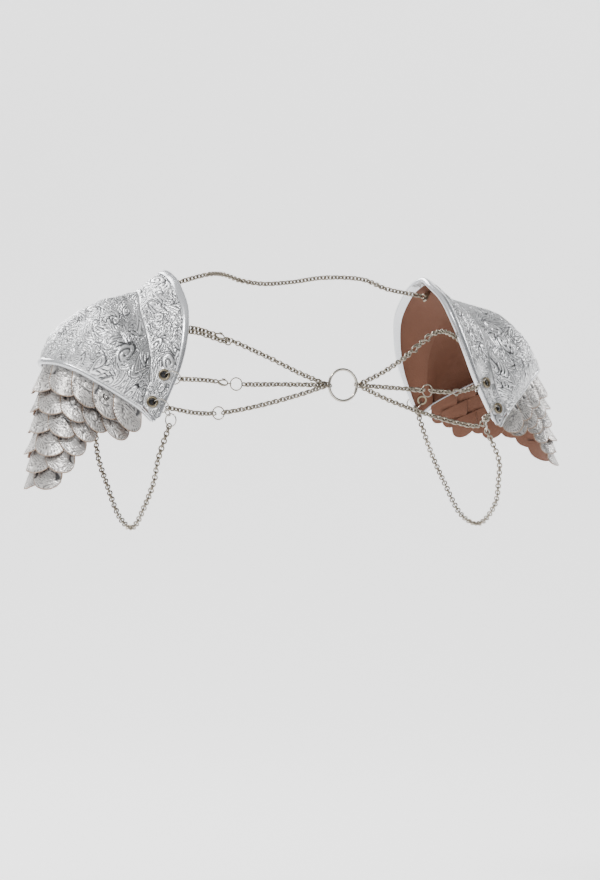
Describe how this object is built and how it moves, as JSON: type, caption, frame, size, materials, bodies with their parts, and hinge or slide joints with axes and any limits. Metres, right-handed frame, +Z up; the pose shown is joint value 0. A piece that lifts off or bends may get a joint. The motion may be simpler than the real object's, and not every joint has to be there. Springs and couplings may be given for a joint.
{
  "type": "pair of pauldrons joined by chains",
  "caption": "Embossed leather shoulder pauldrons with overlapping petal-shaped scales, joined across the chest, back and under the arms by fine metal chains.",
  "frame": {"origin": "midway between the wearer's shoulders, at the height where the two collars rest on them", "axes": "+X is the wearer's left, -Y is the wearer's front, +Z is up"},
  "size_m": [0.5428, 0.1734, 0.2304],
  "materials": {
    "embossed_leather": "silver-coated, embossed with scrolling leaves",
    "binding_leather": "smooth silver-coated, semi-gloss",
    "scale_leather": "silver-coated, embossed veins, raw brown edges",
    "nickel": "polished warm nickel plate"
  },
  "bodies": {
    "root": {"right_collar_panel": "embossed_leather", "right_dome_panel": "embossed_leather", "right_neck_binding": "binding_leather", "right_rim_bead": "binding_leather", "right_scale_row_1": "scale_leather", "right_scale_row_2": "scale_leather", "right_scale_row_3": "scale_leather", "right_scale_row_4": "scale_leather", "right_scale_row_5": "scale_leather", "right_scale_row_6": "scale_leather", "right_grommet_front_upper": "nickel", "right_grommet_front_lower": "nickel", "right_grommet_rear": "nickel", "right_ring_front_upper": "nickel", "right_ring_front_lower": "nickel", "right_ring_rear": "nickel", "right_hanger_strand": "nickel", "right_hanger_back": "nickel", "right_strand_upper": "nickel", "right_strand_middle": "nickel", "right_strand_lower": "nickel", "right_link_ring": "nickel", "right_underarm_small_ring": "nickel", "right_underarm_large_ring": "nickel", "right_underarm_chain": "nickel", "left_collar_panel": "embossed_leather", "left_dome_panel": "embossed_leather", "left_neck_binding": "binding_leather", "left_rim_bead": "binding_leather", "left_scale_row_1": "scale_leather", "left_scale_row_2": "scale_leather", "left_scale_row_3": "scale_leather", "left_scale_row_4": "scale_leather", "left_scale_row_5": "scale_leather", "left_scale_row_6": "scale_leather", "left_grommet_front_upper": "nickel", "left_grommet_front_lower": "nickel", "left_grommet_rear": "nickel", "left_ring_front_upper": "nickel", "left_ring_front_lower": "nickel", "left_ring_rear": "nickel", "left_hanger_strand": "nickel", "left_hanger_back": "nickel", "left_strand_upper": "nickel", "left_strand_middle": "nickel", "left_strand_lower": "nickel", "left_link_ring": "nickel", "left_underarm_small_ring": "nickel", "left_underarm_large_ring": "nickel", "left_underarm_chain": "nickel", "chest_o_ring": "nickel", "back_chain": "nickel"}
  },
  "joints": []
}
